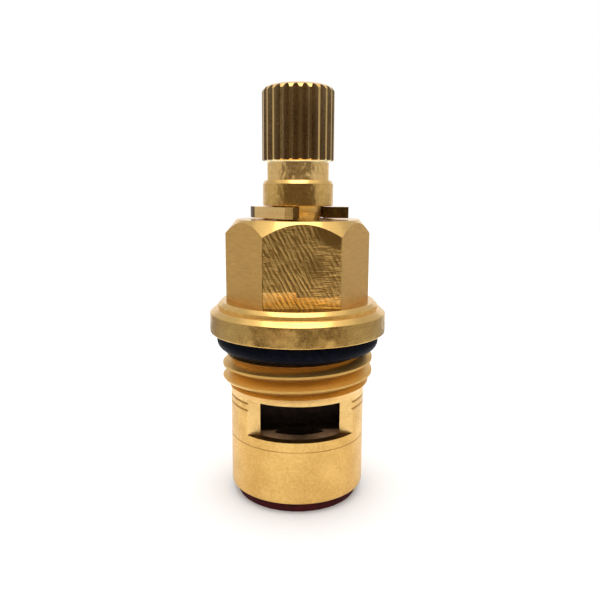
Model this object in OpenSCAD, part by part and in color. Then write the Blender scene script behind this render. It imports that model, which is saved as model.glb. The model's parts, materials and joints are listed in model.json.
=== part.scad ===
// Ceramic disc tap cartridge: a quarter-turn valve that screws into a tap and carries its handle.
// Millimetres, +Z up. The origin is on the spindle axis, level with the lower face of the seat seal.
// Water enters through the seal, passes the two ceramic discs and leaves through the side windows.

/* [Seat seal] */
// How far the seal stands out below the end of the barrel
seal_stand = 1.45; // [1:0.05:2]
// How far the seal reaches up into the barrel
seal_reach = 1.4; // [1:0.05:2]
// How far the seal's lip stands out past the barrel bore
seal_lip = 0.4; // [0.1:0.05:0.6]
// Wall of the rubber seal
seal_wall = 1.75; // [1.4:0.05:2.1]
// Rounding of the seal's lower outer edge
seal_edge = 0.25; // [0.2:0.05:0.9]
// Wall of the plastic ring that keeps the seal round
support_wall = 1.2; // [0.8:0.05:1.6]
// How far the plastic ring sits above the seal's lower face
support_recess = 0.4; // [0.2:0.05:0.8]

/* [Ceramic discs] */
// Thickness of the fixed disc
fixed_disc_t = 3.4; // [2.6:0.1:4]
// Thickness of the moving disc
moving_disc_t = 3.5; // [2.8:0.1:4.2]
// Diameter at the inner edge of the water ports
port_inner_d = 6.4; // [6:0.1:7.4]
// Diameter at the outer edge of the water ports
port_outer_d = 12; // [10:0.1:13]
// Angle that each water port spans
port_angle = 76; // [60:1:84]
// Width of the two keys that stop the fixed disc turning
key_w = 2.4; // [1.6:0.1:3.2]
// How far the keys stand out into the barrel wall
key_depth = 0.55; // [0.4:0.05:0.7]

/* [Barrel] */
// Outside diameter of the barrel
barrel_d = 18.5; // [18:0.1:19.2]
// Bore that holds the seal and the discs
bore_d = 16; // [15.6:0.1:16.6]
// Chamfer on the barrel's lower edge
barrel_chamfer = 0.25; // [0.1:0.05:0.5]
// Distance across the flats that open the two windows
window_across = 12.04; // [11.4:0.02:13]
// Height of the windows
window_h = 4.9; // [4.4:0.1:6]
// Height of the plain lip between the windows and the thread
lip_h = 0.45; // [0.3:0.05:1.5]

/* [Thread] */
// Major diameter of the pipe thread
thread_d = 20.7; // [19.6:0.05:21.4]
// Length of the threaded part
thread_l = 5.25; // [4.5:0.05:8]
// Length of the lead-in taper at the thread's lower end
lead_l = 1.5; // [0.8:0.1:2]
// Distance from one crest of the thread to the next
thread_pitch = 1.814; // [1.337:0.001:2.309]
// Width of the flat on each crest
crest_flat = 0.41; // [0.2:0.01:0.6]

/* [Flange and sealing ring] */
// Diameter of the undercut that carries the sealing ring
undercut_d = 17.26; // [16.6:0.02:18]
// Cord diameter of the sealing ring
ring_cord = 2.4; // [1.8:0.05:2.6]
// Diameter of the flange
flange_d = 24; // [23.6:0.1:27]
// Height of the flange's outer wall
flange_t = 2.65; // [2:0.05:4]
// Height of the bevel on the flange's upper edge
flange_bevel_h = 0.6; // [0.2:0.05:0.9]
// Width of the bevel on the flange's upper edge
flange_bevel_w = 0.75; // [0.5:0.05:1]
// Diameter of the boss under the hexagon
boss_d = 21.8; // [20.8:0.1:22]
// Height of the boss
boss_h = 1; // [0.6:0.05:1.5]
// Chamfer on the boss
boss_chamfer = 0.5; // [0.2:0.05:0.5]

/* [Hexagon] */
// Width across the flats
hex_across = 17; // [16:0.5:18]
// Height of the hexagon
hex_h = 10.86; // [10:0.02:15]
// Diameter where the upper bevel of the hexagon begins
hex_top_d = 16.5; // [15:0.1:16.9]
// Slope of the upper bevel, from the horizontal
hex_bevel = 51; // [30:1:60]

/* [Spindle] */
// Diameter of the spindle where it runs in the body
shank_d = 9.5; // [9.5:0.05:10]
// Thickness of the foot that is held under the shoulder
foot_t = 2.2; // [1.6:0.1:3]
// How far the stop lugs stand out from the bore
lug_depth = 1.4; // [1:0.05:1.6]
// Angle that each stop lug spans
lug_angle = 30; // [20:1:40]
// Angle that the spindle turns from closed to open
turn_angle = 90; // [80:1:95]
// Thickness of the tongue that turns the moving disc
tongue_t = 4.4; // [4:0.05:4.8]
// Thickness of the narrower key at the tongue's lower end
dog_t = 3; // [2.2:0.05:3.2]
// Depth of the slot that takes the key
slot_depth = 1.7; // [1.2:0.05:2]
// Thickness of the washer between foot and shoulder
washer_t = 0.6; // [0.4:0.05:1]
// Diameter at the bottom of the two ring grooves
ring_groove_d = 6.8; // [6.4:0.05:7.2]
// Depth of the upper ring below the top of the hexagon
upper_ring_depth = 4; // [3:0.1:4.5]
// Distance between the two rings
ring_pitch = 4; // [3:0.1:5]

/* [Retaining clip] */
// Diameter of the spindle inside the clip
clip_groove_d = 7; // [6.6:0.05:7.4]
// Thickness of the clip
clip_t = 1.47; // [1:0.05:2]
// Width of the clip over its two arms
clip_w = 9.7; // [9:0.1:10.5]
// Distance from the axis to the tips of the arms
clip_tip = 4.65; // [4:0.05:5]
// Distance from the axis to the back of the clip
clip_back = 5.3; // [4.8:0.05:6]
// Width of the bevelled back corners, along the arms
clip_corner_l = 1.8; // [1:0.05:2.5]
// Width of the bevelled back corners, across the arms
clip_corner_w = 0.85; // [0.5:0.05:1.5]
// Slope of the flared ends, from the direction of the opening
clip_flare = 60; // [50:1:70]
// Direction in which the clip opens, counted from +X
clip_turn = -53; // [-180:1:180]
// Gap between the clip and the top of the hexagon
clip_gap = 0.19; // [0.1:0.01:0.4]

/* [Splined head] */
// Diameter of the collar above the clip
collar_d = 9.36; // [8.8:0.02:9.4]
// Length of the collar
collar_l = 3.3; // [2:0.1:5]
// Chamfer on the collar's upper edge
collar_chamfer = 0.3; // [0.1:0.05:0.5]
// Diameter of the neck below the spline
neck_d = 8.16; // [7.4:0.02:8.3]
// Length of the neck
neck_l = 2.55; // [1.5:0.05:5]
// Diameter over the spline's teeth
spline_d = 9.5; // [9:0.05:9.5]
// Number of teeth
spline_teeth = 24; // [18:1:30]
// Depth of the teeth
tooth_depth = 0.58; // [0.3:0.02:0.6]
// Width of the flat on each tooth
tooth_flat = 0.2; // [0.1:0.02:0.3]
// Angle of one tooth, counted from +X
spline_turn = 2.25; // [0:0.05:15]
// Length of the spline
spline_l = 9.45; // [7:0.05:12]
// Chamfer on the spline's upper end
spline_chamfer = 0.9; // [0.5:0.05:1.4]
// Chamfer on the spline's lower end
spline_lower_chamfer = 0.1; // [0.05:0.05:0.6]
// Drilled diameter of the tapped hole for the handle's screw
screw_d = 4.2; // [3.2:0.1:4.4]
// Depth of the tapped hole
screw_depth = 10; // [7:0.5:12]
// Chamfer at the mouth of the tapped hole
screw_chamfer = 0.4; // [0.2:0.05:0.6]

/* [Hidden] */
$fn = 96;

// Clearances
film = 0.02;          // between faces that slide on each other, and around seated rings
running = 0.05;       // between the spindle and its bore, and around the clip's groove
loose = 0.15;         // between the discs or the foot and the barrel bore
sill_step = 0.13;     // from the moving disc's top up to the window's sill
foot_step = 0.2;      // from the window's top up to the spindle's foot
clip_play = 0.13;     // between the clip and the collar
stop_play = 1;        // degrees left at each end of the turn
relief = 0.15;        // depth of the recess that seats the sealing ring, and its room outside the ring
drill_point = 59;     // half angle of the drilled hole's end
thread_angle = 55;    // angle between the thread's flanks
edge_break = 0.15;    // broken edges on turned parts
over = 1;             // how far a cutting shape runs past the face that it cuts

// Heights, from the seal upwards
barrel_z = seal_stand;
fixed_disc_z = barrel_z + seal_reach;
moving_disc_z = fixed_disc_z + fixed_disc_t + film;
moving_disc_top = moving_disc_z + moving_disc_t;
sill_z = moving_disc_top + sill_step;
window_top = sill_z + window_h;
foot_z = window_top + foot_step;
foot_top = foot_z + foot_t;
shoulder_z = foot_top + film + washer_t;
thread_z = window_top + lip_h;
crests_z = thread_z + lead_l;
undercut_z = thread_z + thread_l;
crests_top = undercut_z - edge_break;
flange_z = undercut_z + ring_cord + running;
flange_top = flange_z + flange_t;
boss_z = flange_top + flange_bevel_h;
hex_z = boss_z + boss_h;
body_top = hex_z + hex_h;
clip_z = body_top + clip_gap;
collar_z = clip_z + clip_t + clip_play;
neck_z = collar_z + collar_l;
spline_z = neck_z + neck_l;
spindle_top = spline_z + spline_l;
upper_ring_z = body_top - upper_ring_depth;
lower_ring_z = upper_ring_z - ring_pitch;
clip_groove_z = body_top - clip_gap;

// Radii
bore_r = bore_d / 2;
lip_r = bore_r + seal_lip;
seal_r = bore_r - running;
seal_inner_r = seal_r - seal_wall;
support_r = seal_inner_r - film;
support_inner_r = support_r - support_wall;
disc_r = bore_r - loose;
key_r = bore_r + key_depth;
lug_r = bore_r - lug_depth;
shank_r = shank_d / 2;
guide_r = shank_r + running;
foot_r = lug_r - loose - running;
undercut_r = undercut_d / 2;
ring_r = undercut_r + film + ring_cord / 2;
relief_r = undercut_r + ring_cord + 2 * film + relief;
hex_corner_r = hex_across / 2 / cos(30);
ring_groove_r = ring_groove_d / 2;
spindle_ring_cord = guide_r - ring_groove_r - 2 * film;
spindle_ring_r = ring_groove_r + film + spindle_ring_cord / 2;
spindle_groove_w = spindle_ring_cord + 2 * loose;
spline_r = spline_d / 2;
spline_root_r = spline_r - tooth_depth;
tongue_r = window_across / 2 - running;
wing_angle = 180 - turn_angle - lug_angle - 2 * stop_play;
wing_turn = (lug_angle + wing_angle) / 2 + stop_play;

// A ring with a square section
module ring(inner_r, outer_r, z, h) {
    translate([0, 0, z])
        difference() {
            cylinder(r = outer_r, h = h);
            translate([0, 0, -over]) cylinder(r = inner_r, h = h + 2 * over);
        }
}

// A block between two radii that spans an angle, repeated on the far side of the axis
module sector_pair(inner_r, outer_r, z, h, angle, turn) {
    for (side = [0, 180])
        rotate([0, 0, turn + side - angle / 2])
            rotate_extrude(angle = angle)
                translate([inner_r, z]) square([outer_r - inner_r, h]);
}

// A bar along X, centred on the axis
module bar(l, w, z, h) {
    translate([-l / 2, -w / 2, z]) cube([l, w, h]);
}

// A ring of round rubber cord
module o_ring(r, cord, z) {
    rotate_extrude()
        translate([r, z]) circle(d = cord);
}

// The two water ports of a ceramic disc
module ports(z, h, turn) {
    sector_pair(port_inner_d / 2, port_outer_d / 2, z - over, h + 2 * over, port_angle, turn);
}

// Profile points of a square groove in a turned part
function groove(z, w, outer_r, inner_r) = [
    [outer_r, z - w / 2], [inner_r, z - w / 2], [inner_r, z + w / 2], [outer_r, z + w / 2]
];

// Profile points of the thread: V-shaped rings with flat crests, centred on its full-width length
function thread_points() =
    let (turns = floor((crests_top - crests_z + crest_flat) / thread_pitch),
         half_w = (thread_pitch - crest_flat) / 2,
         root_r = thread_d / 2 - half_w / tan(thread_angle / 2),
         first_z = (crests_z + crests_top - (turns - 1) * thread_pitch) / 2)
    [for (turn = [0 : turns - 1], point = [[thread_d / 2, -half_w], [root_r, 0], [thread_d / 2, half_w]])
        [point[0], first_z + turn * thread_pitch + point[1]]];

// Brass body: barrel, thread, undercut, flange and boss are one turned profile
module turned_body() {
    rotate_extrude()
        polygon(concat(
            [
                [0, barrel_z],
                [barrel_d / 2 - barrel_chamfer, barrel_z],
                [barrel_d / 2, barrel_z + barrel_chamfer],
                [barrel_d / 2, thread_z],
                [thread_d / 2, crests_z]
            ],
            thread_points(),
            [
                [thread_d / 2, crests_top],
                [thread_d / 2 - edge_break, undercut_z],
                [undercut_r, undercut_z],
                [undercut_r, flange_z + relief],
                [relief_r, flange_z + relief],
                [relief_r, flange_z],
                [flange_d / 2 - edge_break, flange_z],
                [flange_d / 2, flange_z + edge_break],
                [flange_d / 2, flange_top],
                [flange_d / 2 - flange_bevel_w, boss_z],
                [boss_d / 2, boss_z],
                [boss_d / 2, hex_z - boss_chamfer],
                [boss_d / 2 - boss_chamfer, hex_z],
                [0, hex_z]
            ]
        ));
}

// Hexagon for the spanner, with its turned bevel on top
module hexagon() {
    bevel_r = hex_corner_r + over;
    bevel_z = body_top - (bevel_r - hex_top_d / 2) * tan(hex_bevel);
    intersection() {
        translate([0, 0, hex_z - boss_chamfer]) cylinder(r = hex_corner_r, h = hex_h + boss_chamfer, $fn = 6);
        rotate_extrude()
            polygon([
                [0, hex_z - over],
                [bevel_r, hex_z - over],
                [bevel_r, bevel_z],
                [hex_top_d / 2, body_top],
                [0, body_top]
            ]);
    }
}

// Space inside the body: the chamber for the discs and the foot, less the two stop lugs
module chamber() {
    difference() {
        translate([0, 0, barrel_z - over]) cylinder(r = bore_r, h = shoulder_z - barrel_z + over);
        sector_pair(lug_r, bore_r + over, foot_z, shoulder_z - foot_z + over, lug_angle, 0);
    }
}

// Guide bore for the spindle, with its mouth broken
module guide_bore() {
    rotate_extrude()
        polygon([
            [0, shoulder_z - over],
            [guide_r, shoulder_z - over],
            [guide_r, body_top - edge_break],
            [guide_r + edge_break, body_top],
            [guide_r + edge_break, body_top + over],
            [0, body_top + over]
        ]);
}

// Flats that open the barrel into a window at the front and at the back
module windows() {
    for (side = [0, 180])
        rotate([0, 0, side])
            translate([-flange_d / 2, window_across / 2, sill_z]) cube([flange_d, flange_d, window_h]);
}

module valve_body() {
    color("goldenrod")
        difference() {
            union() {
                turned_body();
                hexagon();
            }
            chamber();
            guide_bore();
            windows();
            bar(2 * (key_r + running), key_w + 2 * running, barrel_z - over, over + seal_reach + fixed_disc_t);
        }
}

module body_o_ring() {
    color("black") o_ring(ring_r, ring_cord, flange_z + relief - film - ring_cord / 2);
}

// Rubber seal: its lip bears on the end of the barrel, and its lower face on the tap's seat
module seat_seal() {
    color("maroon")
        rotate_extrude()
            difference() {
                polygon([
                    [seal_inner_r, 0],
                    [lip_r, 0],
                    [lip_r, barrel_z],
                    [seal_r, barrel_z],
                    [seal_r, fixed_disc_z],
                    [seal_inner_r, fixed_disc_z]
                ]);
                translate([lip_r - seal_edge, -over])
                    difference() {
                        square([seal_edge + over, seal_edge + over]);
                        translate([0, seal_edge + over]) circle(r = seal_edge);
                    }
            }
}

module seal_support_ring() {
    color("dimgray")
        rotate_extrude()
            polygon([
                [support_inner_r + edge_break, support_recess],
                [support_r, support_recess],
                [support_r, fixed_disc_z],
                [support_inner_r, fixed_disc_z],
                [support_inner_r, support_recess + edge_break]
            ]);
}

// Ceramic disc that stays still: its two keys sit in the barrel's keyways
module fixed_disc() {
    color("gainsboro")
        difference() {
            union() {
                translate([0, 0, fixed_disc_z]) cylinder(r = disc_r, h = fixed_disc_t);
                intersection() {
                    bar(2 * key_r, key_w, fixed_disc_z, fixed_disc_t);
                    translate([0, 0, fixed_disc_z]) cylinder(r = key_r, h = fixed_disc_t);
                }
            }
            ports(fixed_disc_z, fixed_disc_t, 0);
        }
}

// Ceramic disc that turns with the spindle: its slot takes the spindle's key
module moving_disc() {
    color("gray")
        difference() {
            translate([0, 0, moving_disc_z]) cylinder(r = disc_r, h = moving_disc_t);
            ports(moving_disc_z, moving_disc_t, 90);
            bar(2 * (disc_r + over), dog_t + 2 * running, moving_disc_top - slot_depth, slot_depth + over);
        }
}

module thrust_washer() {
    color("ivory") ring(guide_r + running, foot_r, shoulder_z - washer_t, washer_t);
}

// Turned length of the spindle, from its foot to its neck
module turned_spindle() {
    rotate_extrude()
        polygon(concat(
            [[0, foot_z], [foot_r, foot_z], [foot_r, foot_top], [shank_r, foot_top]],
            groove(lower_ring_z, spindle_groove_w, shank_r, ring_groove_r),
            groove(upper_ring_z, spindle_groove_w, shank_r, ring_groove_r),
            [
                [shank_r, clip_groove_z],
                [clip_groove_d / 2, clip_groove_z],
                [clip_groove_d / 2, collar_z],
                [collar_d / 2 - edge_break, collar_z],
                [collar_d / 2, collar_z + edge_break],
                [collar_d / 2, neck_z - collar_chamfer],
                [collar_d / 2 - collar_chamfer, neck_z],
                [neck_d / 2, neck_z],
                [neck_d / 2, spline_z],
                [0, spline_z]
            ]
        ));
}

// Splined head: V-shaped teeth with narrow flats, chamfered at both ends
module splined_head() {
    tooth_pitch = 360 / spline_teeth;
    half_flat = asin(tooth_flat / 2 / spline_r);
    outline = [
        for (tooth = [0 : spline_teeth - 1], point = [[-tooth_pitch / 2, spline_root_r], [-half_flat, spline_r],
                                                      [half_flat, spline_r]])
            let (angle = spline_turn + tooth * tooth_pitch + point[0])
                point[1] * [cos(angle), sin(angle)]
    ];
    intersection() {
        translate([0, 0, spline_z - over]) linear_extrude(spline_l + over) polygon(outline);
        rotate_extrude()
            polygon([
                [0, spline_z - over / 2],
                [neck_d / 2, spline_z - over / 2],
                [neck_d / 2, spline_z],
                [spline_r - spline_lower_chamfer, spline_z],
                [spline_r + over, spline_z + spline_lower_chamfer + over],
                [spline_r + over, spindle_top - spline_chamfer - over],
                [spline_r - spline_chamfer, spindle_top],
                [0, spindle_top]
            ]);
    }
}

// Drilled and tapped hole for the handle's screw
module screw_hole() {
    screw_r = screw_d / 2;
    rotate_extrude()
        polygon([
            [0, spindle_top - screw_depth - screw_r / tan(drill_point)],
            [screw_r, spindle_top - screw_depth],
            [screw_r, spindle_top - screw_chamfer],
            [screw_r + screw_chamfer, spindle_top],
            [screw_r + screw_chamfer, spindle_top + over],
            [0, spindle_top + over]
        ]);
}

module spindle() {
    color("darkgoldenrod")
        difference() {
            union() {
                turned_spindle();
                splined_head();
                sector_pair(foot_r - over, disc_r, foot_z, foot_t, wing_angle, wing_turn);
                intersection() {
                    union() {
                        bar(2 * disc_r, tongue_t, moving_disc_top + film, foot_z - moving_disc_top);
                        bar(2 * disc_r, dog_t, moving_disc_top - slot_depth + running, slot_depth + over);
                    }
                    translate([0, 0, moving_disc_z]) cylinder(r = tongue_r, h = foot_top - moving_disc_z);
                }
            }
            screw_hole();
        }
}

module lower_spindle_o_ring() {
    color("black") o_ring(spindle_ring_r, spindle_ring_cord, lower_ring_z);
}

module upper_spindle_o_ring() {
    color("black") o_ring(spindle_ring_r, spindle_ring_cord, upper_ring_z);
}

// Stamped horseshoe clip that snaps into the spindle's groove above the body
module retaining_clip() {
    arm = clip_w / 2;
    notch = clip_tip - arm / tan(clip_flare);
    color("peru")
        rotate([0, 0, clip_turn])
            translate([0, 0, clip_z])
                linear_extrude(clip_t)
                    difference() {
                        polygon([
                            [clip_tip, arm],
                            [clip_corner_l - clip_back, arm],
                            [-clip_back, arm - clip_corner_w],
                            [-clip_back, clip_corner_w - arm],
                            [clip_corner_l - clip_back, -arm],
                            [clip_tip, -arm],
                            [notch, 0]
                        ]);
                        circle(r = clip_groove_d / 2 + running);
                    }
}

valve_body();
body_o_ring();
seat_seal();
seal_support_ring();
fixed_disc();
moving_disc();
thrust_washer();
spindle();
lower_spindle_o_ring();
upper_spindle_o_ring();
retaining_clip();
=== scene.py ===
# %% [markdown]
# # A ceramic disc tap cartridge
# The imported model gives every piece its size and place. This lesson gives the pieces that show their
# finished shape and their materials. It starts by loading the imported model.

# %% Load the frame
import json
import math

import bpy
from mathutils import Matrix, Vector

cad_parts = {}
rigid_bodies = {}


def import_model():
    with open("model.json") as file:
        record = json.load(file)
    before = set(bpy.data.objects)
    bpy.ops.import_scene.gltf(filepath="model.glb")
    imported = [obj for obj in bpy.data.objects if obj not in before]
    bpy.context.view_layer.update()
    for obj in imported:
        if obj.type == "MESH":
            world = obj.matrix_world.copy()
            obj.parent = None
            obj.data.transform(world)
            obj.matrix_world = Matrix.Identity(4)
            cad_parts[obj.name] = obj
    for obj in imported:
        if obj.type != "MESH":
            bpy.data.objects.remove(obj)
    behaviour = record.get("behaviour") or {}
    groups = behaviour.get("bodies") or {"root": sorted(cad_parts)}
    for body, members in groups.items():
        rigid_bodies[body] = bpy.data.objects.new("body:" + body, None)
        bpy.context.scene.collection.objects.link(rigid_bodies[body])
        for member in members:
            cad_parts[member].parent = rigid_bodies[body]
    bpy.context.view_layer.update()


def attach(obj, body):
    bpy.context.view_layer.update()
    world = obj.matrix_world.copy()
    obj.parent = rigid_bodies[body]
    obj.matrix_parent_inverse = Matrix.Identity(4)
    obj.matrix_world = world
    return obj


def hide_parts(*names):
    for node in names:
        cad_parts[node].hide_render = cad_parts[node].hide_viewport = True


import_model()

MM = 0.001

# %% [markdown]
# ## Camera
# The photograph was taken from close by, so its perspective is strong: the eye is level with the
# spindle's collar and looks slightly down. The camera is placed by its distance, height and bearing
# from the spindle axis, so that the numbers read as a photographer would give them.

# %% Place the camera
CAMERA_DISTANCE = 83.7
CAMERA_HEIGHT = 41.53
CAMERA_BEARING = math.radians(-3.73)
CAMERA_PITCH = math.radians(9.87)
CAMERA_ROLL = math.radians(0.22)
CAMERA_SENSOR = 36
CAMERA_LENS = 36.93
CAMERA_SHIFT = 0.0040
CAMERA_NEAR = 1

camera_data = bpy.data.cameras.new("photo_camera")
camera_data.sensor_width = CAMERA_SENSOR
camera_data.lens = CAMERA_LENS
camera_data.shift_x = CAMERA_SHIFT
camera_data.clip_start = CAMERA_NEAR * MM
camera = bpy.data.objects.new("photo_camera", camera_data)
bpy.context.scene.collection.objects.link(camera)
bpy.context.scene.camera = camera
away = Vector((math.sin(CAMERA_BEARING), -math.cos(CAMERA_BEARING), 0))
camera.location = (away * CAMERA_DISTANCE + Vector((0, 0, CAMERA_HEIGHT))) * MM
facing = Matrix.Rotation(CAMERA_BEARING, 4, "Z") @ Matrix.Rotation(math.pi / 2 - CAMERA_PITCH, 4, "X")
camera.rotation_euler = (facing @ Matrix.Rotation(CAMERA_ROLL, 4, "Z")).to_euler()
print("camera at", [round(value / MM, 1) for value in camera.location])

# %% [markdown]
# ## Drawing an outline
# Most pieces are round, so they are made as on a lathe. First an outline is drawn: a plane is merged to
# one vertex, and the vertex is extruded from point to point. A corner that the real piece has rounded
# is given a fillet, and the fillet is replaced by a short arc. Everything is modelled in millimetres
# and shrunk to metres at the end.

# %% Outline helpers
ARC_STEPS = 6
MERGE = 0.0005


def rounded(corners):
    """Turns (radius, height, fillet) corners into outline points, with an arc where the fillet isn't 0."""
    outline = []
    for index, (r, z, fillet) in enumerate(corners):
        corner = Vector((r, z))
        if not fillet:
            outline.append(corner)
            continue
        back = (Vector(corners[index - 1][:2]) - corner).normalized()
        ahead = (Vector(corners[(index + 1) % len(corners)][:2]) - corner).normalized()
        half = back.angle(ahead) / 2
        centre = corner + (back + ahead).normalized() * fillet / math.sin(half)
        start = corner + back * fillet / math.tan(half) - centre
        end = corner + ahead * fillet / math.tan(half) - centre
        first = math.atan2(start.y, start.x)
        sweep = (math.atan2(end.y, end.x) - first + math.pi) % (2 * math.pi) - math.pi
        for step in range(ARC_STEPS + 1):
            angle = first + sweep * step / ARC_STEPS
            outline.append(centre + fillet * Vector((math.cos(angle), math.sin(angle))))
    return outline


def draw(name, points):
    """Extrudes one vertex from point to point and leaves the piece in edit mode, all selected."""
    bpy.ops.object.select_all(action="DESELECT")
    bpy.ops.mesh.primitive_plane_add(size=1)
    piece = bpy.context.object
    piece.name = name
    bpy.ops.object.mode_set(mode="EDIT")
    bpy.ops.mesh.merge(type="CENTER")
    bpy.ops.transform.translate(value=points[0])
    for here, there in zip(points, points[1:]):
        step = Vector(there) - Vector(here)
        bpy.ops.mesh.extrude_region_move(TRANSFORM_OT_translate={"value": step})
    bpy.ops.mesh.select_all(action="SELECT")
    bpy.ops.mesh.remove_doubles(threshold=MERGE)
    return piece


def close_up():
    """Merges doubles, turns the faces outwards and leaves edit mode."""
    bpy.ops.mesh.select_all(action="SELECT")
    bpy.ops.mesh.remove_doubles(threshold=MERGE)
    bpy.ops.mesh.normals_make_consistent(inside=False)
    bpy.ops.object.mode_set(mode="OBJECT")


print("outline helpers ready, with", ARC_STEPS, "steps to a fillet")

# %% [markdown]
# ## Lathe and milling machine
# A drawn outline is spun round the axis, all the way for turned pieces and part of the way for lugs and
# wings. Flats and slots are then cut with blocks, by a boolean. Its exact solver is slower than the
# fast one, but it copes with the many faces that meet on a turned part.

# %% Lathe and milling helpers
TURN_STEPS = 180
SECTOR_STEPS = 24


def lathe(name, corners, closed=True):
    """Spins an outline all round. A closed outline ends where it starts, an open one on the axis."""
    outline = [(r, 0, z) for r, z in rounded(corners)]
    piece = draw(name, outline + outline[:1] if closed else outline)
    bpy.ops.mesh.spin(steps=TURN_STEPS, angle=2 * math.pi, center=(0, 0, 0), axis=(0, 0, 1))
    close_up()
    return piece


def turn_piece(piece, angle):
    """Turns a piece about the axis, by degrees, and keeps the turn in its mesh."""
    piece.rotation_euler.z = math.radians(angle)
    bpy.ops.object.transform_apply(location=False, rotation=True, scale=False)
    return piece


def sector(name, inner, outer, low, high, angle, middle):
    """A block between two radii that spans an angle, about a middle direction."""
    corners = [(inner, 0, low), (outer, 0, low), (outer, 0, high), (inner, 0, high)]
    piece = draw(name, corners + corners[:1])
    bpy.ops.mesh.edge_face_add()
    bpy.ops.mesh.spin(steps=SECTOR_STEPS, angle=-math.radians(angle), center=(0, 0, 0), axis=(0, 0, 1))
    close_up()
    return turn_piece(piece, middle - angle / 2)


def bar(name, section, half_length, angle=0):
    """A straight bar with a section of (distance from the axis, height) points, turned about the axis."""
    points = [(x, -half_length, z) for x, z in section]
    piece = draw(name, points + points[:1])
    bpy.ops.mesh.edge_face_add()
    bpy.ops.mesh.extrude_region_move(TRANSFORM_OT_translate={"value": (0, 2 * half_length, 0)})
    close_up()
    return turn_piece(piece, angle)


def apply_modifier(piece, modifier):
    """Applies one modifier to its piece."""
    bpy.ops.object.select_all(action="DESELECT")
    bpy.context.view_layer.objects.active = piece
    piece.select_set(True)
    bpy.ops.object.modifier_apply(modifier=modifier.name)


def machine(piece, tool, operation="DIFFERENCE"):
    """Cuts a piece with a tool, or joins the tool to it, and removes the tool."""
    modifier = piece.modifiers.new("machining", "BOOLEAN")
    modifier.operation = operation
    modifier.solver = "EXACT"
    modifier.object = tool
    apply_modifier(piece, modifier)
    bpy.data.objects.remove(tool, do_unlink=True)


print("lathe ready, with", TURN_STEPS, "steps to a turn")

# %% [markdown]
# ## Thread cutter
# A thread is cut by a V-shaped tool that climbs one pitch in each turn. The tool is drawn as a closed
# section, and the Screw modifier winds it up a right-hand helix. A stack of plain rings would look
# alike from one side only: a real thread leans, and its ends run out.

# %% Thread helper
def helix_cutter(name, section, pitch, start_angle, start_height, turns, steps=96):
    """A cutter that climbs a right-hand helix. Its section is made of (radius, half width) pairs."""
    lower = [(r, 0, start_height - half) for r, half in section]
    upper = [(r, 0, start_height + half) for r, half in reversed(section)]
    tool = draw(name, lower + upper + lower[:1])
    bpy.ops.object.mode_set(mode="OBJECT")
    turn_piece(tool, start_angle)
    screw = tool.modifiers.new("helix", "SCREW")
    screw.axis = "Z"
    screw.steps = screw.render_steps = round(steps * turns)
    screw.angle = 2 * math.pi * turns
    screw.screw_offset = pitch * turns
    apply_modifier(tool, screw)
    bpy.ops.object.mode_set(mode="EDIT")
    bpy.ops.mesh.select_all(action="SELECT")
    bpy.ops.mesh.remove_doubles(threshold=MERGE)
    bpy.ops.mesh.fill_holes(sides=0)
    close_up()
    return tool


print("thread helper ready")

# %% [markdown]
# ## Handing a piece over
# A finished piece is shrunk to metres and smoothed where its faces meet at a small angle. Weighted
# normals let the large faces decide the shading, so that a narrow fillet doesn't bend the light on the
# flat beside it. The piece then rides its body and takes the place of the plain node. Before that, its
# faces are painted by tests: most finishes lie in a band of heights and face up or down by a known
# amount.

# %% Finishing helpers
SMOOTH_ANGLE = math.radians(25)


def paint(piece, material, chosen):
    """Gives a material to the faces that a test picks by their centre and their normal."""
    piece.data.materials.append(material)
    faces = [face for face in piece.data.polygons if chosen(face.center, face.normal)]
    for face in faces:
        face.material_index = len(piece.data.materials) - 1
    print(material.name, "on", len(faces), "faces of", piece.name)


def band(low, high, least=-2, most=2):
    """A test for the faces between two heights whose normal rises by more than least and less than most."""
    return lambda centre, normal: low < centre.z < high and least < normal.z < most


def hand_over(piece, body, node):
    """Shrinks a piece to metres, smooths it, and lets it ride a body in place of a node."""
    bpy.ops.object.select_all(action="DESELECT")
    bpy.context.view_layer.objects.active = piece
    piece.select_set(True)
    piece.scale = (MM, MM, MM)
    bpy.ops.object.transform_apply(location=False, rotation=False, scale=True)
    bpy.ops.object.shade_smooth_by_angle(angle=SMOOTH_ANGLE)
    weighted = piece.modifiers.new("weighted normals", "WEIGHTED_NORMAL")
    weighted.keep_sharp = True
    apply_modifier(piece, weighted)
    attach(piece, body)
    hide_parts(node)
    print(piece.name, "has", len(piece.data.polygons), "faces")


print("finishing helpers ready")

# %% [markdown]
# ## Studio
# Polished metal shows what stands around it, so the room matters as much as the lamps. The part stands
# on a white sheet under a white sky. The sheet ends a hand's breadth away, grey walls stand at its
# sides, and a dark warm screen stands in front, where the photographer was. The walls are seen only in
# reflections, so the background stays white. First come two helpers, which add a shader node and start
# a material.

# %% Node helpers
def add_node(tree, kind, **values):
    """Adds a shader node. A value is set as a property or an input, or is linked if it is a socket."""
    made = tree.nodes.new("ShaderNode" + kind)
    for key, value in values.items():
        label = key.replace("_", " ")
        if hasattr(made, key):
            setattr(made, key, value)
        elif isinstance(value, bpy.types.NodeSocket):
            tree.links.new(value, made.inputs[label])
        else:
            made.inputs[label].default_value = value
    return made


def new_material(name):
    """A material with an empty node tree, its output node and the piece's own coordinates."""
    material = bpy.data.materials.new(name)
    material.use_nodes = True
    tree = material.node_tree
    tree.nodes.clear()
    output = tree.nodes.new("ShaderNodeOutputMaterial")
    place = add_node(tree, "TexCoord").outputs["Object"]
    return material, tree, output, place


print("node helpers ready")

# %% [markdown]
# The floor is one wide plane. Three curved walls follow the edge of the sheet, one just inside the
# other: a low edge all round that the flange shows, grey walls at both sides for the sides of the
# hexagon, and the screen, which spans the angle over which the spindle's neck shows its dark patch.
# Each wall changes its glow from foot to head.

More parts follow.
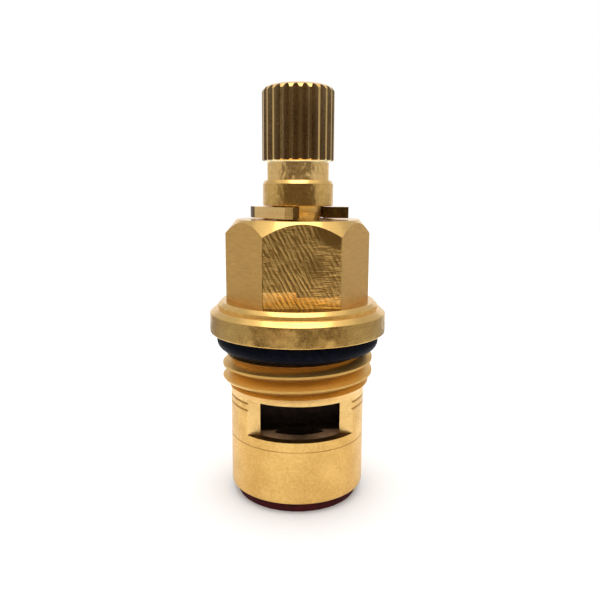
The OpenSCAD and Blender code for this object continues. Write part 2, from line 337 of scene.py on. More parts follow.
# %% Floor and walls
FLOOR_SIZE = 4000
SHEET_RADIUS = 75
WALL_FOOT_Z = 4
WALL_STEPS = 96
WALL_GAP = 0.5
PALE_GREY = (0.97, 0.97, 0.97, 1)
WHITE = (1, 1, 1, 1)
WARM = (1, 0.8, 0.62, 1)


def lay_floor():
    """A wide pale floor under the part."""
    bpy.ops.object.select_all(action="DESELECT")
    bpy.ops.mesh.primitive_plane_add(size=FLOOR_SIZE * MM)
    floor = bpy.context.object
    floor.name = "studio_floor"
    material, tree, output, place = new_material("pale_floor")
    shader = add_node(tree, "BsdfDiffuse", Color=PALE_GREY)
    tree.links.new(shader.outputs[0], output.inputs[0])
    floor.data.materials.append(material)


def raise_wall(name, radius, height, angle, foot, head, head_z, colour):
    """A curved wall on the camera's side that only reflections see. Its glow changes up to head_z."""
    wall = draw(name, [(radius * MM, 0, 0), (radius * MM, 0, height * MM)])
    bpy.ops.mesh.spin(steps=WALL_STEPS, angle=-math.radians(angle), center=(0, 0, 0), axis=(0, 0, 1))
    bpy.ops.object.mode_set(mode="OBJECT")
    turn_piece(wall, math.degrees(CAMERA_BEARING) - 90 - angle / 2)
    material, tree, output, place = new_material(name)
    level = add_node(tree, "SeparateXYZ", Vector=place).outputs["Z"]
    glow = add_node(tree, "MapRange", Value=level, From_Min=WALL_FOOT_Z * MM, From_Max=head_z * MM,
                    To_Min=foot, To_Max=head)
    shader = add_node(tree, "Emission", Color=colour, Strength=glow.outputs[0])
    tree.links.new(shader.outputs[0], output.inputs[0])
    wall.data.materials.append(material)
    wall.visible_camera = False
    wall.visible_diffuse = False
    wall.visible_shadow = False
    print(name, "at", radius, "mm")


lay_floor()
raise_wall("studio_edge", SHEET_RADIUS, height=9, angle=360, foot=0.33, head=0.33, head_z=9, colour=WHITE)
raise_wall("studio_sides", SHEET_RADIUS - WALL_GAP, height=110, angle=280, foot=0.33, head=0.64, head_z=45,
           colour=WHITE)
raise_wall("studio_screen", SHEET_RADIUS - 2 * WALL_GAP, height=75, angle=112, foot=0.36, head=0.11,
           head_z=11, colour=WARM)

# %% [markdown]
# The sky is white to the camera, to reflections and to what glass lets through. A soft square lamp
# hangs over the part. A second one, nearer to the camera, shows in reflections only. It gives the
# bevels that face upwards the near-white gleam that they have in the photograph, and leaves the floor
# as it is.

# %% Sky and lamp
SKY_LIGHT = 1.04
LAMP_SIZE = 260
LAMP_HEIGHT = 330
LAMP_POWER = 0.36
GLEAM_POWER = 0.65
GLEAM_FORWARD = 100


def light_sky():
    """A white sky: full white where it is seen, and a little brighter where it only lights."""
    world = bpy.data.worlds.new("studio_sky")
    bpy.context.scene.world = world
    world.use_nodes = True
    tree = world.node_tree
    tree.nodes.clear()
    path = add_node(tree, "LightPath")
    seen = path.outputs["Is Camera Ray"]
    for ray in ("Is Glossy Ray", "Is Transmission Ray"):
        either = add_node(tree, "Math", operation="MAXIMUM")
        tree.links.new(seen, either.inputs[0])
        tree.links.new(path.outputs[ray], either.inputs[1])
        seen = either.outputs[0]
    level = add_node(tree, "MapRange", Value=seen, To_Min=SKY_LIGHT, To_Max=1.0)
    sky = add_node(tree, "Background", Color=WHITE, Strength=level.outputs[0])
    output = tree.nodes.new("ShaderNodeOutputWorld")
    tree.links.new(sky.outputs[0], output.inputs[0])


def hang_lamp(name, power, forward):
    """A square soft lamp over the part, or so far forward towards the camera."""
    lamp_data = bpy.data.lights.new(name, "AREA")
    lamp_data.size = LAMP_SIZE * MM
    lamp_data.energy = power
    lamp = bpy.data.objects.new(name, lamp_data)
    lamp.location = (away * forward + Vector((0, 0, LAMP_HEIGHT))) * MM
    bpy.context.scene.collection.objects.link(lamp)
    return lamp


light_sky()
hang_lamp("overhead_lamp", LAMP_POWER, 0)
hang_lamp("gleam_lamp", GLEAM_POWER, GLEAM_FORWARD).visible_diffuse = False
bpy.context.scene.view_settings.view_transform = "Standard"
print("sky and lamps on")

# %% [markdown]
# ## Brass finishes
# All the metal is brass, but each surface was made another way: turned on a lathe, milled flat, stamped
# or cut as a thread. The finishes differ in their tones of brass and in the marks that the tool left.
# Marks are noise stretched along the tool's path, and they drive the colour, the roughness and the bump
# together.

# %% Brass helpers
BRASS_LIGHT = (0.83, 0.53, 0.17, 1)
BRASS_DARK = (0.58, 0.32, 0.08, 1)


def noise(tree, place, scale, shift=0, detail=3):
    """Noise with so many waves to a millimetre along each axis. A shift moves the pattern along."""
    stretched = add_node(tree, "Mapping", Vector=place)
    stretched.inputs["Location"].default_value[2] = shift
    stretched.inputs["Scale"].default_value = [waves / MM for waves in scale]
    return add_node(tree, "TexNoise", Vector=stretched.outputs[0], Scale=1, Detail=detail).outputs["Fac"]


def feed(tree, value, socket):
    """Links a value to a socket if it comes from another node, and sets it if it is a constant."""
    if isinstance(value, bpy.types.NodeSocket):
        tree.links.new(value, socket)
    else:
        socket.default_value = value


def blend(tree, share, first, second):
    """Mixes two values by the share of the second. Each of the three is a constant or comes from a node."""
    mix = add_node(tree, "Mix", data_type="FLOAT")
    for socket, value in zip((mix.inputs[0], mix.inputs[2], mix.inputs[3]), (share, first, second)):
        feed(tree, value, socket)
    return mix.outputs[0]


def spread(tree, value, low, high, to_low=0.0, to_high=1.0):
    """Stretches the part of a value between two limits over a new range."""
    return add_node(tree, "MapRange", Value=value, From_Min=low, From_Max=high,
                    To_Min=to_low, To_Max=to_high).outputs[0]


def two_tone(tree, share, first, second):
    """A colour between two colours."""
    mix = add_node(tree, "Mix", data_type="RGBA")
    for socket, value in zip((mix.inputs[0], mix.inputs[6], mix.inputs[7]), (share, first, second)):
        feed(tree, value, socket)
    return mix.outputs[2]


def surface(tree, output, colour, metallic, roughness, heights, shine=0.5):
    """Joins a colour, a roughness and a bump for each (height, depth in millimetres) to the output."""
    normal = None
    for height, depth in heights:
        bump = add_node(tree, "Bump", Height=height, Distance=depth * MM)
        if normal:
            tree.links.new(normal, bump.inputs["Normal"])
        normal = bump.outputs[0]
    shader = add_node(tree, "BsdfPrincipled", Base_Color=colour, Metallic=metallic, Roughness=roughness,
                      Normal=normal)
    shader.inputs["Specular IOR Level"].default_value = shine
    tree.links.new(shader.outputs[0], output.inputs[0])


print("brass helpers ready")

# %% [markdown]
# A turned surface has fine lines round the axis. The hand that held the file left it a little uneven,
# and air and fingers have stained it. A picture could show such marks too, but it would stretch over
# the corners. So one recipe makes them all, and each surface has its own pair of tones and its own
# balance of lines, waves and stains.

# %% Turned finishes
BRIGHT = (BRASS_LIGHT, BRASS_DARK)
PALE = ((0.95, 0.64, 0.25, 1), (0.82, 0.51, 0.18, 1))
GLINT_WHITISH = ((1.0, 0.86, 0.50, 1), (0.95, 0.76, 0.42, 1))
ORANGE = ((0.78, 0.48, 0.14, 1), (0.66, 0.40, 0.11, 1))
TAN = ((0.68, 0.45, 0.17, 1), (0.54, 0.34, 0.12, 1))
BROWN = ((0.50, 0.35, 0.18, 1), (0.36, 0.24, 0.12, 1))
LINE_WAVES = (0.06, 0.06, 5)
GRAIN_WAVES = (3, 3, 3)
STAIN_WAVES = (0.25, 0.25, 0.25)


def turned_finish(name, roughness, line_depth, wave_depth, wave_scale, stain, line_share=0.4, tones=BRIGHT,
                  speckle=0.35):
    """Turned brass: fine lines round the axis over a slightly uneven surface, with stains."""
    material, tree, output, place = new_material(name)
    lines = noise(tree, place, LINE_WAVES)
    grain = noise(tree, place, GRAIN_WAVES)
    waves = noise(tree, place, (wave_scale, wave_scale, wave_scale * 0.7), detail=2)
    stains = noise(tree, place, STAIN_WAVES, detail=5)
    spots = blend(tree, speckle, stains, grain)
    wear = spread(tree, blend(tree, line_share, spots, lines), 0.38, 0.62, 0, stain)
    colour = two_tone(tree, wear, *tones)
    gloss = spread(tree, grain, 0.3, 0.7, roughness * 0.8, roughness * 1.25)
    lined = blend(tree, line_share, grain, lines)
    surface(tree, output, colour, 1, gloss, [(waves, wave_depth), (lined, line_depth)])
    return material


# The numbers: roughness, depth of the lines, depth of the waves, waves to a millimetre, share of stain.
barrel_brass = turned_finish("barrel_brass", 0.36, 0.008, 0.05, 0.5, 0.7, line_share=0.05)
# Painted highlight: the lip and the run-out cone get a paler brass, for the light that they catch.
lip_highlight_brass = turned_finish("lip_highlight_brass", 0.36, 0.02, 0.1, 1.5, 0.8, line_share=0.3, tones=PALE)
post_brass = turned_finish("post_brass", 0.36, 0.012, 0.06, 1.2, 0.8, line_share=0.1, tones=PALE)
flange_brass = turned_finish("flange_brass", 0.26, 0.0003, 0.25, 0.35, 0.8, line_share=0.2, speckle=0.1)
bevel_brass = turned_finish("bevel_brass", 0.22, 0.0004, 0.02, 0.3, 0.4, line_share=0.2)
thread_brass = turned_finish("thread_brass", 0.44, 0.001, 0.02, 0.4, 0.6, line_share=0.2, tones=ORANGE)
spindle_brass = turned_finish("spindle_brass", 0.31, 0.0004, 0.22, 0.8, 1.0, line_share=0.1)
neck_brass = turned_finish("neck_brass", 0.36, 0.002, 0.6, 0.6, 1.0, line_share=0.3, tones=PALE)
# Painted highlight: a whiter brass for the faces under the teeth and in the clip's groove, for the light
# that they catch.
painted_glint_brass = turned_finish("painted_glint_brass", 0.3, 0.001, 0.1, 0.8, 0.8, line_share=0.3, tones=GLINT_WHITISH)
crest_brass = turned_finish("crest_brass", 0.17, 0.0002, 0.01, 0.5, 0.6, line_share=0.1, tones=TAN)
# Painted shade: the sides of the teeth are coloured brown, for the shade between the teeth.
shaded_flank_brass = turned_finish("shaded_flank_brass", 0.3, 0.0006, 0.02, 0.5, 0.8, line_share=0.1, tones=BROWN)
clip_brass = turned_finish("clip_brass", 0.25, 0.0006, 0.1, 0.5, 0.9, tones=PALE)
print("turned finishes ready")

# %% [markdown]
# The six flats were milled. On the front and the back one the cutter left slanting streaks, level marks
# and two smooth patches where it came down. The others have faint level marks only. Cutting each mark
# would take thousands of faces, so the streaks are a wave that noise bends. Its coordinates are turned
# to face the flat, so that one recipe serves all six. Along the foot of the streaked flats runs a
# greyer strip, and the colour fades into it.

# %% Milled finish
HEX_Z = 27.2
HEX_FLAT = 8.5
FOOT_H = 1.5
STREAK_SLANT = math.radians(28)
STREAK_PITCH = 0.55
STREAK_STRETCH = (1, 0.1, 0.4)
WAVE_UNIT = math.pi / 10
FINE_WAVES = (5, 0.1, 0.7)
STRENGTH_WAVES = (0.9, 0.1, 0.9)
LEVEL_WAVES = (0.5, 0.1, 4.5)
CROSS_WAVES = (4, 0.1, 1)
PATCH_WAVES = (0.4, 0.1, 0.5)
DENSE_LEVEL_WAVES = (0.6, 0.1, 5)
STREAK_SIDE = (0.5, 3.0)
# Place across the flat, height, radius, and the share of the marks that is left.
SMOOTH_PATCHES = [(4.0, 37.5, 3.0, 0.15), (1.8, 32.4, 1.8, 0.5)]
PATCH_EDGE = 1.0
STREAKED = ((0.86, 0.55, 0.18, 1), (0.52, 0.285, 0.075, 1))
STRIP = ((0.72, 0.56, 0.29, 1), (0.48, 0.36, 0.16, 1))
# Contrast and depth of the marks, dullness and tones.
PLAIN_FLAT = (0.5, 0.012, 0.45, BRIGHT)
STREAKED_FLAT = (1.1, 0.1, 0.3, STREAKED)


def streaks(tree, flat, shift):
    """Slanting streaks of many widths, as a cutter leaves them."""
    slanting = add_node(tree, "Mapping", Vector=flat)
    slanting.inputs["Rotation"].default_value[1] = STREAK_SLANT
    slanted = slanting.outputs[0]
    long_streaks = add_node(tree, "Mapping", Vector=slanted)
    long_streaks.inputs["Location"].default_value[2] = shift
    long_streaks.inputs["Scale"].default_value = [waves / MM for waves in STREAK_STRETCH]
    wave = add_node(tree, "TexWave", Vector=long_streaks.outputs[0], Scale=WAVE_UNIT / STREAK_PITCH,
                    Distortion=4.5, Detail=4, Detail_Scale=1.2)
    fine = spread(tree, noise(tree, slanted, FINE_WAVES, shift), 0.3, 0.7)
    strong = spread(tree, noise(tree, flat, STRENGTH_WAVES, shift), 0.35, 0.65, 0.15, 0.75)
    return blend(tree, strong, fine, wave.outputs["Fac"])


def smoothed(tree, flat, marks):
    """Takes most of the marks out of the round patches where the cutter came down."""
    for x, z, radius, left in SMOOTH_PATCHES:
        distance = add_node(tree, "VectorMath", operation="DISTANCE")
        tree.links.new(flat, distance.inputs[0])
        distance.inputs[1].default_value = Vector((x, -HEX_FLAT, z)) * MM
        worked = spread(tree, distance.outputs["Value"], (radius - PATCH_EDGE) * MM, radius * MM, left, 1)
        marks = blend(tree, worked, 0.35, marks)
    return marks


def plain_marks(tree, flat, shift):
    """Faint level marks, crossed by a few upright ones."""
    level = noise(tree, flat, LEVEL_WAVES, shift)
    return blend(tree, 0.3, level, noise(tree, flat, CROSS_WAVES, shift))


def streaked_marks(tree, flat, shift):
    """Streaks to the left and level marks to the right, in uneven patches, with the smooth places."""
    patch = spread(tree, noise(tree, flat, PATCH_WAVES, shift), 0.3, 0.7)
    across = add_node(tree, "SeparateXYZ", Vector=flat).outputs["X"]
    side = spread(tree, across, STREAK_SIDE[0] * MM, STREAK_SIDE[1] * MM)
    where = spread(tree, blend(tree, 0.4, patch, side), 0.3, 0.7, 0.25, 0.85)
    level = spread(tree, noise(tree, flat, DENSE_LEVEL_WAVES, shift), 0.3, 0.7, 0.25, 0.75)
    return smoothed(tree, flat, blend(tree, where, streaks(tree, flat, shift), level))


def milled_finish(name, turn, shift, slanted):
    """Milled brass for a flat that a turn about Z brings to face the camera, streaked or plain."""
    material, tree, output, place = new_material(name)
    facing_flat = add_node(tree, "Mapping", Vector=place)
    facing_flat.inputs["Rotation"].default_value[2] = math.radians(turn)
    flat = facing_flat.outputs[0]
    make_marks = streaked_marks if slanted else plain_marks
    marks = make_marks(tree, flat, shift)
    contrast, depth, dullness, tones = STREAKED_FLAT if slanted else PLAIN_FLAT
    wear = spread(tree, marks, 0.65, 0.35, 0.5 - contrast / 2, 0.5 + contrast / 2)
    colour = two_tone(tree, wear, *tones)
    if slanted:
        height = add_node(tree, "SeparateXYZ", Vector=flat).outputs["Z"]
        strip = spread(tree, height, HEX_Z * MM, (HEX_Z + FOOT_H) * MM)
        colour = two_tone(tree, strip, two_tone(tree, wear, *STRIP), colour)
    gloss = spread(tree, marks, 0.35, 0.65, dullness, dullness + 0.12)
    surface(tree, output, colour, 1, gloss, [(marks, depth)])
    return material


print("milled finish ready")

# %% [markdown]
# ## Brass body
# The body is one piece of brass, from the barrel to the hexagon. It could be stacked from cylinders and
# cones, but then faces would be left inside. It is turned instead as one closed outline, inside and
# out, so that every corner can have its own fillet.

# %% Turn the body
BARREL_R = 9.25
BORE_R = 8.0
BORE_CHAMFER = 0.2
BARREL_Z = 1.45
SCRIBE_Z = 8.6
TURNED_GROOVES_Z = (13.3, 14.25)
# Width and depth of the scribed line and of the turned grooves.
SCRIBE = (0.14, 0.05)
TURNED_GROOVE = (0.34, 0.2)
SILL_Z = 9.9
WINDOW_TOP = 14.8
WINDOW_FLAT = 6.02
LEAD_Z = 15.25
LEAD_L = 1.5
THREAD_R = 10.35
RUN_OUT_Z = 19.55
UNDERCUT_Z = 20.5
UNDERCUT_R = 8.63
FLANGE_Z = 22.95
FLANGE_TOP = 25.6
FLANGE_R = 12.0
FLANGE_BEVEL = 0.75
RECESS_R = 11.18
RECESS_DEPTH = 0.15
BOSS_Z = 26.2
BOSS_R = 10.9
BOSS_CHAMFER = 0.5
HEX_BLANK_R = 9.77
HEX_TOP_R = 8.25
HEX_BEVEL = math.tan(math.radians(51))
BODY_TOP = 38.06
GUIDE_R = 4.8
GUIDE_CHAMFER = 0.15
SHOULDER_Z = 17.82


def groove(r, z, width, depth):
    """Corners of a small V groove in an upright wall."""
    return [(r, z - width / 2, 0), (r - depth, z, 0), (r, z + width / 2, 0)]


def turn_body():
    """The turned blank of the body, with its bore."""
    return lathe("valve_body_brass", [
        (BORE_R + BORE_CHAMFER, BARREL_Z, 0),
        (BARREL_R, BARREL_Z, 0.2),
        *groove(BARREL_R, SCRIBE_Z, *SCRIBE),
        *[corner for z in TURNED_GROOVES_Z for corner in groove(BARREL_R, z, *TURNED_GROOVE)],
        (BARREL_R, LEAD_Z, 0.1),
        (THREAD_R, LEAD_Z + LEAD_L, 0),
        (THREAD_R, RUN_OUT_Z, 0),
        (UNDERCUT_R, UNDERCUT_Z, 0.1),
        (UNDERCUT_R, FLANGE_Z + RECESS_DEPTH, 0.1),
        (RECESS_R, FLANGE_Z + RECESS_DEPTH, 0),
        (RECESS_R, FLANGE_Z, 0),
        (FLANGE_R, FLANGE_Z, 0.14),
        (FLANGE_R, FLANGE_TOP, 0.12),
        (FLANGE_R - FLANGE_BEVEL, BOSS_Z, 0.1),
        (BOSS_R, BOSS_Z, 0.06),
        (BOSS_R, HEX_Z - BOSS_CHAMFER, 0.1),
        (BOSS_R - BOSS_CHAMFER, HEX_Z, 0.1),
        (HEX_BLANK_R, HEX_Z, 0.06),
        (HEX_BLANK_R, BODY_TOP - (HEX_BLANK_R - HEX_TOP_R) * HEX_BEVEL, 0),
        (HEX_TOP_R, BODY_TOP, 0.06),
        (GUIDE_R + GUIDE_CHAMFER, BODY_TOP, 0),
        (GUIDE_R, BODY_TOP - GUIDE_CHAMFER, 0),
        (GUIDE_R, SHOULDER_Z, 0),
        (BORE_R, SHOULDER_Z, 0),
        (BORE_R, BARREL_Z + BORE_CHAMFER, 0),
    ])


valve_body = turn_body()
print("turned blank:", len(valve_body.data.polygons), "faces")

# %% [markdown]
# The flats, the windows and the keyways are milled, and the two stop lugs are left standing in the
# chamber. Along the foot of the front and the back flat a strip leans in, and it is taller at one end.
# A bump could shade it, but would give it no edge, so two wedges cut it. Its upper edge is marked
# sharp, to stay crisp when the body is smoothed.

# %% Mill the body
BEYOND = 15
HAIR = 0.01
FOOT_LEAN = 0.27
FOOT_RISE = 0.7
FLAT_HALF = HEX_FLAT * math.tan(math.radians(30)) - 2 * HAIR
RISE_HALF = 2.1
KEYWAY_R = 8.6
KEYWAY_TOP = 6.25
KEYWAY_HALF = 1.25
LUG_R = 6.6
LUG_Z = 15.0
LUG_ANGLE = 30
ROOTED = 0.4


def cutter(near, low, high, angle):
    """A long block that cuts everything farther from the axis than a face."""
    return bar("cutter", [(near, low), (BEYOND, low), (BEYOND, high), (near, high)], BEYOND, angle)


def foot_cutter(height, half_width, left, angle):
    """A wedge that makes the foot of a flat lean in. Its middle lies to the left of the flat's middle."""
    section = [(HEX_FLAT - FOOT_LEAN * height, HEX_Z), (BEYOND, HEX_Z), (BEYOND, HEX_Z + height),
               (HEX_FLAT, HEX_Z + height)]
    tool = bar("foot_cutter", section, half_width, angle)
    tool.location = Vector((math.sin(math.radians(angle)), -math.cos(math.radians(angle)), 0)) * left
    bpy.ops.object.transform_apply(location=True, rotation=False, scale=False)
    return tool


flat_angles = [30 + 60 * side for side in range(6)]
for angle in flat_angles:
    machine(valve_body, cutter(HEX_FLAT, HEX_Z, BODY_TOP + 1, angle))
for angle in (90, -90):
    machine(valve_body, foot_cutter(FOOT_H, FLAT_HALF, 0, angle))
    machine(valve_body, foot_cutter(FOOT_H + FOOT_RISE, RISE_HALF, FLAT_HALF - RISE_HALF, angle))
    machine(valve_body, cutter(WINDOW_FLAT, SILL_Z, WINDOW_TOP, angle))
keyways = [(-KEYWAY_R, 0), (KEYWAY_R, 0), (KEYWAY_R, KEYWAY_TOP), (-KEYWAY_R, KEYWAY_TOP)]
machine(valve_body, bar("key_cutter", keyways, KEYWAY_HALF))
for angle in (0, 180):
    lug = sector("stop_lug", LUG_R, BORE_R + ROOTED, LUG_Z, SHOULDER_Z + ROOTED, LUG_ANGLE, angle)
    machine(valve_body, lug, "UNION")
for edge in valve_body.data.edges:
    ends = [valve_body.data.vertices[index].co for index in edge.vertices]
    on_plane = all(abs(abs(end.y) - HEX_FLAT) < MERGE for end in ends)
    edge.use_edge_sharp = on_plane and max(end.z for end in ends) < HEX_Z + FOOT_H + FOOT_RISE + MERGE
print("milled body:", len(valve_body.data.polygons), "faces")

# %% [markdown]
# The half inch pipe thread has flanks at 55 degrees to each other and narrow flat crests. The cutter
# starts in the lead-in at the back of the barrel, deepens as the lead-in widens, and runs out into the
# undercut. The crests stand out in the outline, so the thread is cut and not painted.

# %% Cut the thread
PITCH = 1.814
CREST_FLAT = 0.3
ROOT_HALF = 0.01
FLANK = math.tan(math.radians(55 / 2))
THREAD_START = 120
THREAD_START_Z = 15.4
THREAD_TURNS = 3.3
PAST_CREST = 0.2
root_r = THREAD_R - ((PITCH - CREST_FLAT) / 2 - ROOT_HALF) / FLANK
mouth_r = THREAD_R + PAST_CREST
mouth_half = ROOT_HALF + (mouth_r - root_r) * FLANK
thread_section = [(root_r, ROOT_HALF), (mouth_r, mouth_half)]
thread_cutter = helix_cutter("thread_cutter", thread_section, PITCH, THREAD_START, THREAD_START_Z,
                             THREAD_TURNS)
machine(valve_body, thread_cutter)
print("threaded body:", len(valve_body.data.polygons), "faces")

# %% [markdown]
# Each face of the body gets the finish of the tool that made it. Faces could be picked one by one, but the
# choice would be lost with the next change of a size. So a test looks at where a face lies and which way it
# faces. The boss and the sill show no tool marks, and get a quiet finish, which rubber, plastic and ceramic
# share later. The sill's finish is near-black: painted shade for the dark inside the window.

# %% Finish the body
CLOUD_WAVES = (1.5, 1.5, 1.5)
SPECK_WAVES = (9, 9, 9)
LIP_WALL = 0.5
FACING = 0.95


def dull_finish(name, light, dark, roughness, bump_depth, metallic=0.0, shine=0.5, painted_shade_bands=()):
    """A quiet finish of two close colours, with bands of painted shade along the axes if it has any."""
    material, tree, output, place = new_material(name)
    cloud = noise(tree, place, CLOUD_WAVES, detail=5)
    grain = noise(tree, place, SPECK_WAVES)
    colour = two_tone(tree, spread(tree, cloud, 0.35, 0.65), (*light, 1), (*dark, 1))
    for axis, inner, outer, left in painted_shade_bands:
        side = add_node(tree, "Math", operation="ABSOLUTE")
        tree.links.new(add_node(tree, "SeparateXYZ", Vector=place).outputs[axis], side.inputs[0])
        unshaded = spread(tree, side.outputs[0], inner * MM, outer * MM, left, 1)
        colour = add_node(tree, "VectorMath", operation="SCALE", Scale=unshaded, Vector=colour).outputs[0]
    gloss = spread(tree, grain, 0.3, 0.7, roughness * 0.85, roughness * 1.2)
    surface(tree, output, colour, metallic, gloss, [(blend(tree, 0.6, cloud, grain), bump_depth)], shine)
    return material


lead_slope = (BARREL_R - THREAD_R) / math.hypot(LEAD_L, THREAD_R - BARREL_R)
run_out_slope = (THREAD_R - UNDERCUT_R) / math.hypot(UNDERCUT_Z - RUN_OUT_Z, THREAD_R - UNDERCUT_R)


def on_lip(centre, normal):
    """A test for the two cones where the thread starts and ends, and the narrow wall below the first."""
    wall = LEAD_Z - LIP_WALL < centre.z < LEAD_Z and abs(normal.z) < 0.05
    lead = LEAD_Z < centre.z < LEAD_Z + LEAD_L and abs(normal.z - lead_slope) < 0.1
    run_out = RUN_OUT_Z < centre.z < UNDERCUT_Z and abs(normal.z - run_out_slope) < 0.01
    return wall or lead or run_out


def on_flat(angle):
    """A test for the faces of one milled flat."""
    outward = Vector((math.cos(math.radians(angle)), math.sin(math.radians(angle)), 0))
    return lambda centre, normal: centre.z > HEX_Z and normal.dot(outward) > FACING


def on_post(centre, normal):
    """A test for the flat ends of the wall beside the windows."""
    return SILL_Z < centre.z < WINDOW_TOP and abs(normal.y) > 0.999


boss_brass = dull_finish("boss_brass", (0.95, 0.60, 0.17), (0.85, 0.50, 0.13), 0.5, 0.005, metallic=1)
# Painted shade: the sill inside the window is coloured near-black.
shaded_sill_brass = dull_finish("shaded_sill_brass", (0.16, 0.08, 0.02), (0.09, 0.04, 0.01), 0.45, 0.02,
                            metallic=0.9)
valve_body.data.materials.append(barrel_brass)
paint(valve_body, thread_brass, band(LEAD_Z, FLANGE_Z))
# The cones at both ends of the thread, and the wall below the first, get the painted highlight.
paint(valve_body, lip_highlight_brass, on_lip)
paint(valve_body, post_brass, on_post)
paint(valve_body, flange_brass, band(FLANGE_Z, BODY_TOP + 1))
for side, angle in enumerate(flat_angles):
    finish = milled_finish("milled_flat_%d" % side, -90 - angle, 11 * side, angle in (90, 270))
    paint(valve_body, finish, on_flat(angle))
paint(valve_body, bevel_brass, band(FLANGE_TOP, HEX_Z + HAIR, least=0.3))
paint(valve_body, bevel_brass, band(HEX_Z + 1, BODY_TOP + 1, least=0.3))
paint(valve_body, boss_brass, band(BOSS_Z, HEX_Z - 0.45, least=-0.5, most=0.5))
# The sill gets the painted shade.
paint(valve_body, shaded_sill_brass, band(SILL_Z - HAIR, SILL_Z + HAIR, least=0.9))
hand_over(valve_body, "body", "valve_body")

# %% [markdown]
# ## Spindle
# The spindle is turned from the tongue at its foot to the head, with two grooves for its sealing rings
# and one for the clip. The clip's groove leans in towards the body, so it shows the bright top of the
# hexagon. Its outline is open and ends on the axis at both ends, because the spindle is solid below the
# drilled hole.

# %% Turn the spindle
TONGUE_Z = 8.12
TONGUE_R = 5.97
FOOT_Z = 15.0
FOOT_TOP = 17.2
FOOT_R = 6.4
SHANK_R = 4.75
RING_GROOVE_R = 3.4
RING_GROOVE_W = 1.66
RING_HEIGHTS = (30.06, 34.06)
CLIP_GROOVE_Z = 37.87
CLIP_GROOVE_FOOT_R = 2.9
CLIP_GROOVE_HEAD_R = 3.5
COLLAR_Z = 39.85
COLLAR_R = 4.68
# Inwards and downwards.
COLLAR_CHAMFER = (0.25, 0.45)
NECK_Z = 43.15
NECK_R = 4.08
SPLINE_Z = 45.7
SPLINE_R = 4.75
SPLINE_CHAMFER = 0.07
SPINDLE_TOP = 55.15
TOP_CHAMFER = 0.9
TOP_EASE = 0.3
TOP_EASE_DROP = 0.7
HOLE_R = 2.1
HOLE_CHAMFER = 0.4
HOLE_DEPTH = 10
DRILL_POINT = math.radians(59)


def ring_groove(z):
    """Corners of a square groove for a sealing ring."""
    low, high = z - RING_GROOVE_W / 2, z + RING_GROOVE_W / 2
    return [(SHANK_R, low, 0), (RING_GROOVE_R, low, 0), (RING_GROOVE_R, high, 0), (SHANK_R, high, 0)]


def turn_spindle():
    """The turned blank of the spindle, with its drilled hole."""
    return lathe("spindle_brass", [
        (0, TONGUE_Z, 0),
        (TONGUE_R, TONGUE_Z, 0.1),
        (TONGUE_R, FOOT_Z, 0),
        (FOOT_R, FOOT_Z, 0.1),
        (FOOT_R, FOOT_TOP, 0.1),
        (SHANK_R, FOOT_TOP, 0),
        *[corner for z in RING_HEIGHTS for corner in ring_groove(z)],
        (SHANK_R, CLIP_GROOVE_Z, 0.1),
        (CLIP_GROOVE_FOOT_R, CLIP_GROOVE_Z, 0),
        (CLIP_GROOVE_HEAD_R, COLLAR_Z, 0.05),
        (COLLAR_R, COLLAR_Z, 0.1),
        (COLLAR_R, NECK_Z - COLLAR_CHAMFER[1], 0.06),
        (COLLAR_R - COLLAR_CHAMFER[0], NECK_Z, 0.04),
        (NECK_R, NECK_Z, 0.05),
        (NECK_R, SPLINE_Z, 0.3),
        (SPLINE_R - SPLINE_CHAMFER, SPLINE_Z, 0),
        (SPLINE_R, SPLINE_Z + SPLINE_CHAMFER, 0),
        (SPLINE_R, SPINDLE_TOP - TOP_EASE_DROP, 0),
        (SPLINE_R - TOP_EASE, SPINDLE_TOP - TOP_EASE, 0),
        (SPLINE_R - TOP_CHAMFER, SPINDLE_TOP, 0.06),
        (HOLE_R + HOLE_CHAMFER, SPINDLE_TOP, 0.03),
        (HOLE_R, SPINDLE_TOP - HOLE_CHAMFER, 0),
        (HOLE_R, SPINDLE_TOP - HOLE_DEPTH, 0),
        (0, SPINDLE_TOP - HOLE_DEPTH - HOLE_R / math.tan(DRILL_POINT), 0),
    ], closed=False)


spindle = turn_spindle()
print("spindle blank:", len(spindle.data.polygons), "faces")

# %% [markdown]
# The spline is cut by one tool: a ring whose hole has the outline of all the teeth. The outline is
# drawn tooth by tooth, extruded outwards as a flat ring, and then upwards as a solid. A cutter for each
# gap would do too, but one cut is quicker and leaves no slivers between the gaps.

# %% Cut the spline
TEETH = 24
TOOTH_DEPTH = 0.58
TOOTH_FLAT = 0.3
TOOTH_TURN = math.radians(-0.25)
CUTTER_R = 6.5


def spline_outline():
    """Points round the teeth: a root and the two edges of a crest for each tooth."""
    pitch = 2 * math.pi / TEETH
    crest = TOOTH_FLAT / 2 / SPLINE_R
    points = []
    for tooth in range(TEETH + 1):
        middle = TOOTH_TURN + tooth * pitch
        corners = [(-pitch / 2, SPLINE_R - TOOTH_DEPTH), (-crest, SPLINE_R), (crest, SPLINE_R)]
        for offset, r in corners:
            points.append((r * math.cos(middle + offset), r * math.sin(middle + offset), SPLINE_Z - HAIR))
    return points[:3 * TEETH + 1]


def spline_cutter():
    """A ring-shaped tool around the teeth."""
    tool = draw("spline_cutter", spline_outline())
    grow = CUTTER_R / SPLINE_R
    bpy.ops.mesh.extrude_region_move()
    bpy.ops.transform.resize(value=(grow, grow, 1), center_override=(0, 0, 0))
    bpy.ops.mesh.select_all(action="SELECT")
    bpy.ops.mesh.extrude_region_move(TRANSFORM_OT_translate={"value": (0, 0, SPINDLE_TOP - SPLINE_Z + 1)})
    close_up()
    return tool


machine(spindle, spline_cutter())
print("splined spindle:", len(spindle.data.polygons), "faces")

# %% [markdown]
# The tongue is milled from the turned foot: two flats leave the thick part, and two deeper ones leave
# the key that sits in the moving disc. Two wings on the foot meet the stop lugs at the ends of the
# turn. The hole in the head is tapped for the handle's screw. The wings could be left standing by more
# cuts, but it is shorter to join two sectors to the foot.

